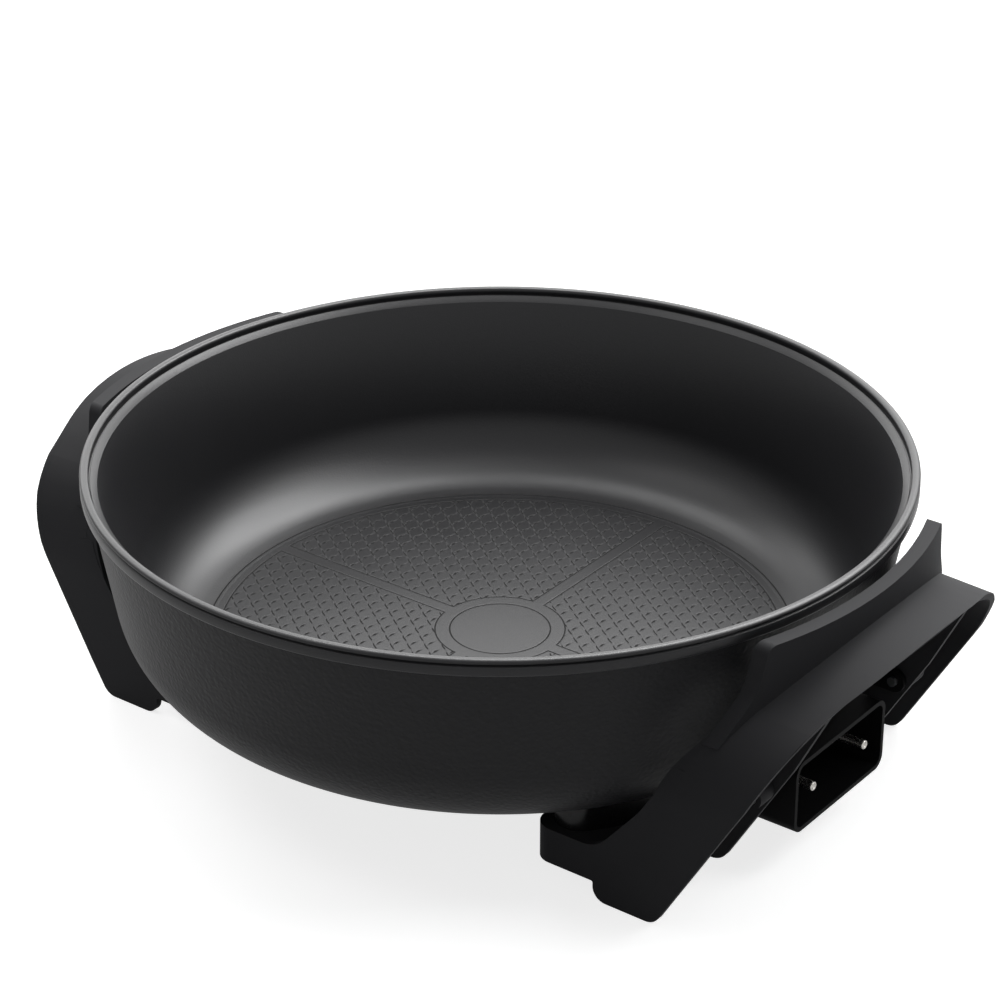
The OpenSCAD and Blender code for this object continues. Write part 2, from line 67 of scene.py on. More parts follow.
print("CAD nodes:", len(nodes))

# %% [markdown]
# ## Colours and nodes
# A colour is given as an sRGB hex value, but a shader works in linear light. One function
# turns the first into the second, so that every colour below can be read and changed easily.
# A second function adds a node, sets it and connects it. A tree is then a list of such calls.

# %% Two helpers
def linear(hex_colour):
    """Linear RGBA of an sRGB hex colour."""
    channels = [int(hex_colour[i:i + 2], 16) / 255 for i in (1, 3, 5)]
    return [c / 12.92 if c <= 0.04045 else ((c + 0.055) / 1.055) ** 2.4 for c in channels] + [1.0]


def add(tree, kind, feeds=None, **settings):
    """Adds a node. Settings are its properties, feeds are values or sockets for its inputs."""
    made = tree.nodes.new(kind)
    for name, value in settings.items():
        setattr(made, name, value)
    for key, value in (feeds or {}).items():
        if isinstance(value, bpy.types.NodeSocket):
            tree.links.new(value, made.inputs[key])
        else:
            made.inputs[key].default_value = value
    return made


print("black plastic in linear light:", [round(c, 4) for c in linear("#2a2a2c")[:3]])

# %% [markdown]
# ## Starting a material
# Every finish here is a Principled shader, because it exports well and looks right in any light.
# A constant is set on the shader's own socket. Patterns read Object coordinates, and since every
# object sits at the origin these are simply places on the skillet, in metres.

# %% A material with its shader
def finish(name, colour, roughness, metallic=0.0, specular=0.5, ior=1.5):
    """A new material. Returns it with its tree, its shader and its Object coordinates."""
    made = bpy.data.materials.new(name)
    made.use_nodes = True
    tree = made.node_tree
    shader = tree.nodes["Principled BSDF"]
    shader.inputs["Base Color"].default_value = linear(colour)
    shader.inputs["Roughness"].default_value = roughness
    shader.inputs["Metallic"].default_value = metallic
    shader.inputs["Specular IOR Level"].default_value = specular
    if not metallic:
        shader.inputs["IOR"].default_value = ior
    place = add(tree, "ShaderNodeTexCoord").outputs["Object"]
    return made, tree, shader, place


# %% [markdown]
# ## Non-stick coating on the inside
# PTFE coating is sprayed on the blasted casting and baked. Fine droplets leave a grain of about a
# third of a millimetre, too fine to show here, so it is drawn 0.8 mm coarse. The coating is nearly
# black and semi-matt. PTFE has a low IOR of 1.35, so it stays dark where it faces the eye and goes
# pale where it is seen at a low angle. The wall and the pressed floor both start from this finish.

# %% Inside coating
COATING_BLACK = "#242426"
PTFE_IOR = 1.35
GRAIN = 0.8 * MM


def sprayed(name):
    """The sprayed coating: its material, tree, shader, coordinates, roughness and bump."""
    made, tree, shader, place = finish(name, COATING_BLACK, 0.36, ior=PTFE_IOR)
    grain = add(tree, "ShaderNodeTexNoise", {"Vector": place, "Scale": 1 / GRAIN, "Detail": 2.0})
    cloud = add(tree, "ShaderNodeTexNoise", {"Vector": place, "Scale": 1 / (40 * MM), "Detail": 1.0})
    worn = add(tree, "ShaderNodeMapRange", {"Value": cloud.outputs["Fac"],
                                            "To Min": 0.34, "To Max": 0.39})
    tree.links.new(worn.outputs["Result"], shader.inputs["Roughness"])
    bump = add(tree, "ShaderNodeBump", {"Height": grain.outputs["Fac"], "Strength": 0.5,
                                        "Distance": 0.07 * MM})
    tree.links.new(bump.outputs["Normal"], shader.inputs["Normal"])
    return made, tree, shader, place, worn, bump


coating = sprayed("ptfe_coating_sprayed")[0]
print("coating grain:", round(GRAIN / MM, 2), "mm")

# %% [markdown]
# ## Coating on the outside
# Outside, the casting is not blasted smooth, and the coating follows its skin. It looks like fine
# leather: low rounded islands about 1.8 mm wide with narrow valleys between them. Voronoi cells
# give the islands, a noise bends them, and a bump raises them by less than a fifth of a millimetre.

# %% Outside coating
ISLAND = 1.8 * MM
skin, tree, shader, place = finish("ptfe_coating_on_cast_skin", "#151517", 0.50,
                                   specular=0.33, ior=PTFE_IOR)
bend = add(tree, "ShaderNodeTexNoise", {"Vector": place, "Scale": 1 / (3 * MM), "Detail": 2.0})
mixed = add(tree, "ShaderNodeVectorMath",
            {0: bend.outputs["Color"], 1: (2 * MM, 2 * MM, 2 * MM), 2: place},
            operation="MULTIPLY_ADD")
cells = add(tree, "ShaderNodeTexVoronoi", {"Vector": mixed.outputs[0], "Scale": 1 / ISLAND},
            feature="SMOOTH_F1")
bump = add(tree, "ShaderNodeBump", {"Height": cells.outputs["Distance"], "Strength": 1.0,
                                    "Distance": -0.18 * MM})
tree.links.new(bump.outputs["Normal"], shader.inputs["Normal"])
print("leather islands:", round(ISLAND / MM, 2), "mm")

# %% [markdown]
# ## Moulded plastics
# The handle units are phenolic, a hard black plastic that stands the heat. The mould is
# finely eroded, so the surface is satin and shows almost no grain: 0.4 mm in truth, drawn 0.7 mm.
# The shroud is glass-filled nylon, darker and duller. The spacers come from a polished mould.

# %% Phenolic, nylon and the polished spacer
plastics = {}
for name, colour, rough, specular, size, height in (
        ("phenolic_satin_moulded", "#2a2a2c", 0.70, 0.10, 0.7, 0.003),
        ("glass_filled_nylon_matt", "#060607", 0.55, 0.06, 0.9, 0.006),
        ("polished_moulded_phenolic", "#161617", 0.25, 0.25, 1.2, 0.004)):
    plastic, tree, shader, place = finish(name, colour, rough, specular=specular)
    grain = add(tree, "ShaderNodeTexNoise", {"Vector": place, "Scale": 1 / (size * MM), "Detail": 2.0})
    bump = add(tree, "ShaderNodeBump", {"Height": grain.outputs["Fac"], "Strength": 0.3,
                                        "Distance": height * MM})
    tree.links.new(bump.outputs["Normal"], shader.inputs["Normal"])
    plastics[name] = plastic
print("plastics:", len(plastics))

# %% [markdown]
# ## Bare metals and ceramic
# The pins are nickel plated: bright, with a soft shine from fine turning marks. Screws, washers and
# the earth plate are zinc plated steel, the element's sheath and the probe sleeve are steel tube.
# The bushes are unglazed steatite, an off-white ceramic. Each gets a weak noise in its roughness,
# because handled metal is never evenly smooth.

# %% Metals and ceramic
hard = {}
for name, colour, rough, metallic, size in (
        ("nickel_plated_brass", "#b9b7b2", 0.26, 1.0, 0.5),
        ("zinc_plated_steel", "#a8aaad", 0.34, 1.0, 1.5),
        ("cold_drawn_steel_tube", "#8c8b88", 0.38, 1.0, 2.0),
        ("unglazed_steatite", "#d9d3c4", 0.62, 0.0, 0.6)):
    metal, tree, shader, place = finish(name, colour, rough, metallic=metallic)
    patches = add(tree, "ShaderNodeTexNoise", {"Vector": place, "Scale": 1 / (size * MM),
                                               "Detail": 3.0})
    spread = add(tree, "ShaderNodeMapRange", {"Value": patches.outputs["Fac"],
                                              "To Min": rough - 0.06, "To Max": rough + 0.06})
    tree.links.new(spread.outputs["Result"], shader.inputs["Roughness"])
    hard[name] = metal
print("hard finishes:", len(hard))

# %% [markdown]
# ## The pan as a turned outline
# The pan is a body of revolution, so its wall is one outline swept round the axis. A Screw
# modifier would do it too, but in code each point of the outline can be placed on purpose: the
# long bottom radius, the lid seat, the bead with its small groove, and the rolled skirt.
# The outline starts at the edge of the cooking floor and ends under the base, on the axis.
# A point is a radius and a height. The heights of the rim are counted down from its top.

# %% Outline of the pan
RIM_Z = cad_box[1][2] / MM
FLOOR_R = 121.37
FLOOR_Z = RIM_Z - 83
DRAFT = 9.5             # slope of the wall, in degrees
INNER_BEND = 33.8       # radius between cooking floor and wall
OUTER_BEND = 42.0       # the same outside, round the same height
OUTER_R = 117.31        # where the flat base ends
BASE_Z = FLOOR_Z - 8.2
BEND_Z = FLOOR_Z + INNER_BEND
SKIRT_END = (167.25, RIM_Z - 6.6)


def arc(centre, radius, first, last, steps):
    """Points of an arc in the (radius, height) plane, angles in degrees."""
    angles = [math.radians(first + (last - first) * i / steps) for i in range(steps + 1)]
    return [(centre[0] + radius * math.cos(a), centre[1] + radius * math.sin(a)) for a in angles]


def below_rim(points):
    """Points whose depth under the top of the rim is given."""
    return [(r, RIM_Z - depth) for r, depth in points]


def outline():
    """The pan's section from the cooking floor over the rim to the middle of the base."""
    bottom = arc((FLOOR_R, BEND_Z), INNER_BEND, -90, -DRAFT, 44)
    ring_groove = [(FLOOR_R - 0.9, FLOOR_Z - 0.35), (FLOOR_R, FLOOR_Z - 0.02), (122.0, FLOOR_Z),
                   (122.65, FLOOR_Z + 0.02), (122.8, FLOOR_Z - 0.1), (123.2, FLOOR_Z - 0.1),
                   (123.35, FLOOR_Z + 0.05), (123.9, FLOOR_Z + 0.09)]
    seat = below_rim([(162.98, 5.3), (163.05, 5.2), (165.75, 3.2), (165.95, 3.45),
                      (166.3, 3.35), (166.45, 2.9), (166.25, 2.3), (166.2, 1.4)])
    bead = below_rim([(166.35, 0.75), (166.7, 0.3), (167.2, 0.08), (168.0, 0.0),
                      (168.8, 0.06), (169.4, 0.25), (169.8, 0.6), (169.95, 1.0)])
    groove = below_rim([(169.9, 1.3), (169.35, 1.5), (168.95, 1.85), (168.95, 2.2),
                        (169.4, 2.5), (169.85, 2.75)])
    skirt = below_rim([(170.0, 3.2), (170.0, 6.0), (169.85, 6.5), (169.5, 6.8),
                       (169.0, 6.75), (167.6, 6.5)]) + [SKIRT_END]
    outside = arc((OUTER_R, BEND_Z), OUTER_BEND, -DRAFT, -90, 40)
    base = [(r, BASE_Z) for r in (90, 60, 30, 0)]
    return ring_groove + bottom[6:] + seat + bead + groove + skirt + outside + base


section = outline()
print("outline points:", len(section), "rim at", round(RIM_Z, 2), "mm")

# %% [markdown]
# ## From outline to mesh
# The rows of the mesh are the outline's points, the columns are its copies round the axis. Each
# face lists its corners so that its front points out of the metal. The last row is one point, and
# a fan closes it. The normals are smooth, except where two rows meet at a real edge.

# %% Turned mesh
REAL_EDGE = 40      # degrees between two faces


def turned(name, points, sides, finishes, finish_of, axis="Z", origin=(0, 0, 0)):
    """A mesh turned round an axis. Points are (radius, place along the axis) in millimetres."""
    rows = np.array(points) * MM
    turn = np.arange(sides) * 2 * math.pi / sides
    r, along = rows[:-1, 0:1], np.repeat(rows[:-1, 1:2], sides, 1)
    u, v = r * np.cos(turn), r * np.sin(turn)
    stack = [u, v, along] if axis == "Z" else [along, u, v]
    verts = np.stack(stack, -1).reshape(-1, 3)
    tip = (0, 0, rows[-1, 1]) if axis == "Z" else (rows[-1, 1], 0, 0)
    verts = np.vstack([verts, tip]) + np.array(origin) * MM
    count = len(rows) - 1
    faces, marks = [], []
    for i in range(count - 1):
        for j in range(sides):
            k = (j + 1) % sides
            faces.append((i * sides + j, (i + 1) * sides + j, (i + 1) * sides + k, i * sides + k))
            marks.append(finish_of(i))
    last = (count - 1) * sides
    for j in range(sides):
        faces.append((last + j, count * sides, last + (j + 1) % sides))
        marks.append(finish_of(count - 1))
    mesh = bpy.data.meshes.new(name)
    mesh.from_pydata(verts.tolist(), [], faces)
    for made in finishes:
        mesh.materials.append(made)
    mesh.polygons.foreach_set("material_index", marks)
    mesh.shade_smooth()
    mesh.set_sharp_from_angle(angle=math.radians(REAL_EDGE))
    piece = bpy.data.objects.new(name, mesh)
    bpy.context.scene.collection.objects.link(piece)
    return piece


print("edges sharper than", REAL_EDGE, "degrees stay sharp")

# %% [markdown]
# ## The underside
# Under the base are the cast ridge round the heating element, the screw bosses and the block
# that carries the terminals. Their shape is right in the CAD, so their faces are taken from a copy
# of the CAD mesh: a face stays when one of its corners lies outside the turned outline.

# %% Ridge, bosses and terminal block
CLEAR = 0.06        # millimetres by which a corner has to stand out


def outside_of_turned(place):
    """True where a point stands out of the pan's turned outside."""
    r, z = math.hypot(place.x, place.y) / MM, place.z / MM
    if r < OUTER_R:
        return z < BASE_Z - CLEAR
    return z < FLOOR_Z + 30 and math.hypot(r - OUTER_R, z - BEND_Z) > OUTER_BEND + CLEAR


mesh = nodes["pan"].data.copy()
shape = bmesh.new()
shape.from_mesh(mesh)
bmesh.ops.remove_doubles(shape, verts=shape.verts, dist=1e-6)
gone = [f for f in shape.faces if not any(outside_of_turned(v.co) for v in f.verts)]
bmesh.ops.delete(shape, geom=gone, context="FACES")
shape.to_mesh(mesh)
shape.free()
mesh.materials.clear()
mesh.materials.append(skin)
pan_underside = bpy.data.objects.new("pan_underside", mesh)
bpy.context.scene.collection.objects.link(pan_underside)
print("underside faces:", len(mesh.polygons))

# %% [markdown]
# ## The pressed cooking floor
# The floor has a fine pattern in four fields, so that fat runs under the food. Two sets of
# grooves cross: slanting stairs, and short upright marks that swell in the middle of a cell.
# The fields leave a cross, a ring and a round centre plain. Such a pattern is a rule, so it is made
# with Geometry Nodes: a grid is bent into a quarter disc and each point sinks by the rule.
# The recipe below is a list of small sums. A word is an earlier result, a number is itself.

# %% Recipe of the relief
TAU = 2 * math.pi
LEAN, SHIFT = 0.72, 2.10
RECIPE = [
    # Distance from the middle and to the nearest edge of a field
    ("x_size", "ABSOLUTE", "x"), ("y_size", "ABSOLUTE", "y"),
    ("xx", "MULTIPLY", "x", "x"), ("rr", "MULTIPLY_ADD", "y", "y", "xx"), ("r", "SQRT", "rr"),
    ("to_x_band", "SUBTRACT", "x_size", "Half band"),
    ("to_y_band", "SUBTRACT", "y_size", "Half band"),
    ("to_centre", "SUBTRACT", "r", "Centre radius"), ("to_rim", "SUBTRACT", "Field radius", "r"),
    ("to_band", "MINIMUM", "to_x_band", "to_y_band"), ("to_round", "MINIMUM", "to_centre", "to_rim"),
    ("inside", "MINIMUM", "to_band", "to_round"),
    ("in_field", "SMOOTH", "inside", -0.15, 0.2, 0, 1),
    ("border", "SMOOTH", "inside", 0.45, 0.95, 1, 0),
    # Place inside a cell: across its column, and along the slanting stairs
    ("from_column", "SUBTRACT", "x", SHIFT), ("width_half", "MULTIPLY", "Cell width", 0.5),
    ("minus_half", "MULTIPLY", "Cell width", -0.5),
    ("across", "WRAP", "from_column", "width_half", "minus_half"), ("side", "ABSOLUTE", "across"),
    ("slant", "MULTIPLY_ADD", "x", LEAN, "y"),
    ("x_turn", "MULTIPLY", "x", TAU), ("x_angle", "DIVIDE", "x_turn", "Cell width"),
    ("x_wave", "SINE", "x_angle"), ("bent", "MULTIPLY_ADD", "x_wave", 0.15, "slant"),
    ("depth_half", "MULTIPLY", "Cell depth", 0.5), ("minus_depth", "MULTIPLY", "Cell depth", -0.5),
    # Stairs: strong in a column, weak between columns
    ("from_stair", "WRAP", "bent", "depth_half", "minus_depth"),
    ("stair_far", "ABSOLUTE", "from_stair"),
    ("stair", "SMOOTH", "stair_far", 0.20, 0.62, 1, 0),
    ("side_share", "DIVIDE", "side", "Cell width"),
    ("stair_force", "SMOOTH", "side_share", 0.26, 0.38, 1, 0.35),
    ("stairs", "MULTIPLY", "stair", "stair_force"),
    # Upright marks that wander a little and swell once in each cell
    ("along", "WRAP", "slant", "Cell depth", 0.0), ("along_turn", "MULTIPLY", "along", TAU),
    ("angle", "DIVIDE", "along_turn", "Cell depth"),
    ("wander_angle", "SUBTRACT", "angle", TAU * 0.55), ("wander_sine", "SINE", "wander_angle"),
    ("wander", "MULTIPLY", "wander_sine", 0.28), ("off", "SUBTRACT", "from_column", "wander"),
    ("off_wrapped", "WRAP", "off", "width_half", "minus_half"),
    ("mark_far", "ABSOLUTE", "off_wrapped"),
    ("swell_angle", "SUBTRACT", "angle", TAU * 0.375), ("swell_cos", "COSINE", "swell_angle"),
    ("swell", "MULTIPLY_ADD", "swell_cos", 0.5, 0.5), ("swell_2", "MULTIPLY", "swell", "swell"),
    ("mark_in", "MULTIPLY_ADD", "swell_2", 0.25, 0.08),
    ("mark_out", "MULTIPLY_ADD", "swell_2", 0.28, 0.46),
    ("mark", "SMOOTH", "mark_far", "mark_in", "mark_out", 1, 0),
    ("mark_force", "MULTIPLY_ADD", "swell_2", 0.75, 0.25),
    ("marks", "MULTIPLY", "mark", "mark_force"),
    # All grooves of the fields, and the two single round grooves
    ("crossing", "MAXIMUM", "stairs", "marks"), ("grooves", "MAXIMUM", "crossing", "border"),
    ("field", "MULTIPLY", "grooves", "in_field"),
    ("to_circle", "SUBTRACT", "r", "Circle radius"), ("circle_far", "ABSOLUTE", "to_circle"),
    ("circle", "SMOOTH", "circle_far", 0.18, 0.52, 1, 0), ("plain", "MAXIMUM", "field", "circle"),
    ("to_ring", "SUBTRACT", "r", "Ring radius"), ("ring_far", "ABSOLUTE", "to_ring"),
    ("ring", "SMOOTH", "ring_far", 0.18, 0.52, 1, 0), ("groove", "MAXIMUM", "plain", "ring"),
]
print("steps in the recipe:", len(RECIPE))

# %% [markdown]
# ## The pressed coating
# The recipe is followed twice. In the geometry it makes the real, very shallow relief, on points
# that are 0.4 mm apart. In the material it draws the same grooves sharper than any affordable mesh
# could: they are rougher, with a fine step at each side, and their colour is darkened as painted
# shade, for the shade that falls into grooves too narrow for the mesh to hold.
# One function follows a table of sums, whichever kind of tree it is in.

# %% Follow the recipe in the coating
def follow(tree, table, known):
    """Adds one node for each row of a table of sums. Results are kept in known by their names."""
    for result, sum_kind, *parts in table:
        feeds = {i: known.get(part, part) for i, part in enumerate(parts)}
        if sum_kind == "SMOOTH":
            step = add(tree, "ShaderNodeMapRange", feeds, interpolation_type="SMOOTHSTEP")
        else:
            step = add(tree, "ShaderNodeMath", feeds, operation=sum_kind)
        known[result] = step.outputs[0]


SIZES = {"Floor radius": FLOOR_R, "Floor height": FLOOR_Z, "Turn": 0.0, "Groove depth": 0.06,
         "Cell width": 5.78, "Cell depth": 8.32, "Half band": 2.6, "Centre radius": 26.9,
         "Circle radius": 21.1, "Field radius": 118.3, "Ring radius": 123.0}
pressed, tree, shader, place, worn, bump = sprayed("ptfe_coating_pressed")
spot = add(tree, "ShaderNodeSeparateXYZ", {0: place})
known = dict(SIZES, x_m=spot.outputs[0], y_m=spot.outputs[1])
follow(tree, [("x", "MULTIPLY", "x_m", 1 / MM), ("y", "MULTIPLY", "y_m", 1 / MM)] + RECIPE, known)
rough = add(tree, "ShaderNodeMath", {0: known["groove"], 1: 0.64, 2: worn.outputs["Result"]},
            operation="MULTIPLY_ADD")
MIX_A, MIX_B, MIXED = 6, 7, 2       # the colour sockets of a Mix node
# Painted shade: the colour goes nearly black in the grooves, for the shade that falls into them.
painted_groove_shade = add(tree, "ShaderNodeMix",
            {"Factor": known["groove"], MIX_A: linear(COATING_BLACK), MIX_B: linear("#050505")},
            data_type="RGBA")
edge = add(tree, "ShaderNodeBump", {"Height": known["groove"], "Distance": -0.015 * MM,
                                    "Strength": 0.6, "Normal": bump.outputs["Normal"]})
tree.links.new(rough.outputs[0], shader.inputs["Roughness"])
tree.links.new(painted_groove_shade.outputs[MIXED], shader.inputs["Base Color"])
tree.links.new(edge.outputs["Normal"], shader.inputs["Normal"])
print("nodes in the pressed coating:", len(tree.nodes))

# %% [markdown]
# ## Wall of the pan
# The outline is turned once. Its first rows hold the round groove at the edge of the cooking floor,
# so they wear the pressed coating. The rest of the inside is plain, and the outside has its skin.

# %% Turn the wall
COLUMNS = 288       # enough to keep the rim's edge round in a close view
RING_ROWS = 8
outside_from = section.index(SKIRT_END)
pan_wall = turned("pan_wall", section, COLUMNS, [pressed, coating, skin],
                  lambda i: 0 if i < RING_ROWS else 1 if i < outside_from else 2)
print("pan wall faces:", len(pan_wall.data.polygons))

# %% [markdown]
# ## The floor's node tree
# The tree's inputs are the sizes that a maker would change. The grid runs from 0 to 1 both ways
# and is bent so that its far sides become a quarter of a circle, which keeps its cells even.

# %% Node tree of a quarter of the floor
STEPS = 311
quilt = bpy.data.node_groups.new("pressed_floor_quarter", "GeometryNodeTree")
for name, size in SIZES.items():
    socket = quilt.interface.new_socket(name, in_out="INPUT", socket_type="NodeSocketFloat")
    socket.default_value = size
quilt.interface.new_socket("Geometry", in_out="OUTPUT", socket_type="NodeSocketGeometry")
given = add(quilt, "NodeGroupInput").outputs
known = {name: given[name] for name in SIZES}

grid = add(quilt, "GeometryNodeMeshGrid", {"Size X": 1.0, "Size Y": 1.0,
                                           "Vertices X": STEPS, "Vertices Y": STEPS})
spot = add(quilt, "ShaderNodeSeparateXYZ", {0: add(quilt, "GeometryNodeInputPosition").outputs[0]})
known["grid_x"], known["grid_y"] = spot.outputs[0], spot.outputs[1]
BEND = [
    ("u", "ADD", "grid_x", 0.5), ("v", "ADD", "grid_y", 0.5),
    ("uu", "MULTIPLY", "u", "u"), ("vv", "MULTIPLY", "v", "v"),
    ("u_left", "MULTIPLY_ADD", "uu", -0.5, 1.0), ("v_left", "MULTIPLY_ADD", "vv", -0.5, 1.0),
    ("u_root", "SQRT", "u_left"), ("v_root", "SQRT", "v_left"),
    ("p_unit", "MULTIPLY", "u", "v_root"), ("q_unit", "MULTIPLY", "v", "u_root"),
    ("p", "MULTIPLY", "p_unit", "Floor radius"), ("q", "MULTIPLY", "q_unit", "Floor radius"),
    ("cos", "COSINE", "Turn"), ("sin", "SINE", "Turn"), ("minus_sin", "MULTIPLY", "sin", -1.0),
    ("p_cos", "MULTIPLY", "p", "cos"), ("x", "MULTIPLY_ADD", "q", "minus_sin", "p_cos"),
    ("p_sin", "MULTIPLY", "p", "sin"), ("y", "MULTIPLY_ADD", "q", "cos", "p_sin"),
]
SINK = [
    ("sunk", "MULTIPLY", "groove", "Groove depth"), ("height", "SUBTRACT", "Floor height", "sunk"),
    ("x_m", "MULTIPLY", "x", MM), ("y_m", "MULTIPLY", "y", MM), ("z_m", "MULTIPLY", "height", MM),
]
follow(quilt, BEND + RECIPE + SINK, known)
to = add(quilt, "ShaderNodeCombineXYZ", {0: known["x_m"], 1: known["y_m"], 2: known["z_m"]})
moved = add(quilt, "GeometryNodeSetPosition", {"Geometry": grid.outputs["Mesh"],
                                               "Position": to.outputs[0]})
real = add(quilt, "GeometryNodeRealizeInstances", {"Geometry": moved.outputs[0]})
coated = add(quilt, "GeometryNodeSetMaterial", {"Geometry": real.outputs[0], "Material": pressed})
add(quilt, "NodeGroupOutput", {0: coated.outputs[0]})
print("nodes in the tree:", len(quilt.nodes))

# %% [markdown]
# ## Four quarters
# Each quarter is the same tree with another turn, and the rule reads real places, so the pattern
# runs through all four as one. The modifier's result is made a plain mesh, one for each quarter,
# because the fields are far finer than the rest and a single mesh of them would be very large.

# %% Make the quarters
def frozen(piece):
    """Turns what a piece's modifiers make into its plain mesh."""
    graph = bpy.context.evaluated_depsgraph_get()
    mesh = bpy.data.meshes.new_from_object(piece.evaluated_get(graph), depsgraph=graph)
    piece.modifiers.clear()
    piece.data = mesh
    mesh.shade_smooth()
    return piece


turn_socket = next(s for s in quilt.interface.items_tree if s.name == "Turn").identifier
cooking_floor = []
for quarter in range(4):
    piece = bpy.data.objects.new("cooking_floor_%d" % (quarter + 1), bpy.data.meshes.new("quarter"))
    bpy.context.scene.collection.objects.link(piece)
    modifier = piece.modifiers.new("pressed pattern", "NODES")
    modifier.node_group = quilt
    modifier[turn_socket] = quarter * math.pi / 2
    cooking_floor.append(frozen(piece))
print("triangles in a quarter:", 2 * len(cooking_floor[0].data.polygons))

# %% [markdown]
# ## Softened mouldings
# No moulded edge is sharp: the cutter that makes the mould leaves a radius, and the polish rounds
# it more. The handle units keep their CAD shape, but a copy of each mesh gets a Bevel modifier.
# The copy is merged first, and its flat areas are joined, so that only true edges are softened.
# A second modifier weighs the normals by the faces' sizes, which keeps flat areas looking flat.

# %% Copies with soft edges
FULL = 1.3                      # radius where the shield meets the shelf, in millimetres
SHIELD_R = (174.6, 181.9)       # the shield stands between these distances from the axis
SHIELD_FOOT = RIM_Z - 46


def shield_edge(edge):
    """Share of the full radius for an edge of the upright heat shield, and for its foot."""
    ends = [(math.hypot(v.co.x, v.co.y) / MM, v.co.z / MM) for v in edge.verts]
    if not all(SHIELD_R[0] < r < SHIELD_R[1] and z > SHIELD_FOOT for r, z in ends):
        return None
    return 0.7 if edge.is_convex else 1.0


def softened(node, name, width, material, fuller=None, angle=30, segments=3):
    """A copy of a CAD node's mesh with rounded edges. The width is in millimetres."""
    mesh = nodes[node].data.copy()
    shape = bmesh.new()
    shape.from_mesh(mesh)
    bmesh.ops.remove_doubles(shape, verts=shape.verts, dist=0.25 * MM)
    bmesh.ops.dissolve_limit(shape, angle_limit=math.radians(0.5),
                             verts=shape.verts, edges=shape.edges)
    weight = shape.edges.layers.float.new("bevel_weight_edge")
    for edge in shape.edges:
        if edge.calc_face_angle(0) > math.radians(angle):
            edge[weight] = (fuller and fuller(edge)) or width / FULL
    shape.to_mesh(mesh)
    shape.free()
    if "custom_normal" in mesh.attributes:
        mesh.attributes.remove(mesh.attributes["custom_normal"])
    mesh.materials.clear()
    mesh.materials.append(material)
    mesh.shade_smooth()
    mesh.set_sharp_from_angle(angle=math.radians(angle))
    piece = bpy.data.objects.new(name, mesh)
    bpy.context.scene.collection.objects.link(piece)
    bevel = piece.modifiers.new("soft edges", "BEVEL")
    bevel.width = FULL * MM
    bevel.segments = segments
    bevel.limit_method = "WEIGHT"
    even = piece.modifiers.new("even shading", "WEIGHTED_NORMAL")
    even.keep_sharp = True
    return piece


phenolic = plastics["phenolic_satin_moulded"]
nylon = plastics["glass_filled_nylon_matt"]
polished = plastics["polished_moulded_phenolic"]
mouldings = {
    "right_handle": softened("right_handle", "right_handle_unit", 0.5, phenolic, shield_edge),
    "left_handle": softened("left_handle", "left_handle_unit", 0.5, phenolic, shield_edge),
    "socket_shroud": softened("socket_shroud", "shroud", 0.45, nylon),
    "right_pan_spacer": softened("right_pan_spacer", "right_spacer", 0.8, polished),
    "left_pan_spacer": softened("left_pan_spacer", "left_spacer", 0.8, polished),
}
for piece in mouldings.values():
    print(piece.name, len(piece.data.polygons), "faces before softening")

# %% [markdown]
# ## Webs at the neck
# Where the ribbon narrows beside the pan, its rear edge runs on in one smooth line from the leg into
# the shield. A thin web gives it that line. It lies in the same shoulder arc as the ribbon, so each
# row of its mesh is one height, with a rear edge, a front edge inside the ribbon and two arcs.

# %% Neck webs
SHOULDER_Y, SHOULDER_Z = 48.8, 54.6     # centre of the shoulder's arc
OUTER_ARC, INNER_ARC = 42.05, 39.3
SHIELD_FACE = 175.2
# Heights, and how far out the rear edge lies at each
REAR = [(56.0, 139.1), (60.0, 140.7), (64.0, 142.5), (68.0, 144.5), (71.0, 146.2), (74.0, 148.2),
        (77.0, 150.4), (80.0, 152.9), (84.0, 156.4)]


def neck_webs(name, side):
    """Two webs, near and far, on the unit at one side of the pan."""
    shape = bmesh.new()
    for way in (-1, 1):
        rows = []
        for z, rear in REAR:
            outer = SHOULDER_Y + math.sqrt(OUTER_ARC ** 2 - (z - SHOULDER_Z) ** 2)
            inner = SHOULDER_Y + math.sqrt(INNER_ARC ** 2 - (z - SHOULDER_Z) ** 2)
            front = max(rear + 0.3, min(math.sqrt(SHIELD_FACE ** 2 - outer ** 2) + 0.8, rear + 7))
            rows.append([shape.verts.new((side * x * MM, way * y * MM, z * MM)) for x, y in
                         ((rear, outer), (front, outer), (front, inner), (rear, inner))])
        for low, high in zip(rows, rows[1:]):
            for i in range(4):
                shape.faces.new((low[i], low[(i + 1) % 4], high[(i + 1) % 4], high[i]))
        shape.faces.new(rows[0])
        shape.faces.new(rows[-1])
    bmesh.ops.recalc_face_normals(shape, faces=shape.faces)
    mesh = bpy.data.meshes.new(name)
    shape.to_mesh(mesh)
    shape.free()
    mesh.materials.append(phenolic)
    mesh.shade_smooth()
    mesh.set_sharp_from_angle(angle=math.radians(35))
    piece = bpy.data.objects.new(name, mesh)
    bpy.context.scene.collection.objects.link(piece)
    return piece


webs = [neck_webs("right_neck_webs", 1), neck_webs("left_neck_webs", -1)]
print("web faces:", len(webs[0].data.polygons))

# %% [markdown]
# ## Contact pins
# A contact pin is cold headed and then turned: a thin stud, a shoulder, a plain shank and a rounded
# tip that finds its way into the contact sleeve. The centre that held it in the lathe stays as a
# dimple in the tip, so the tip shows a bright ring round a darker hollow. It is a turned mesh again,
# this time along X.

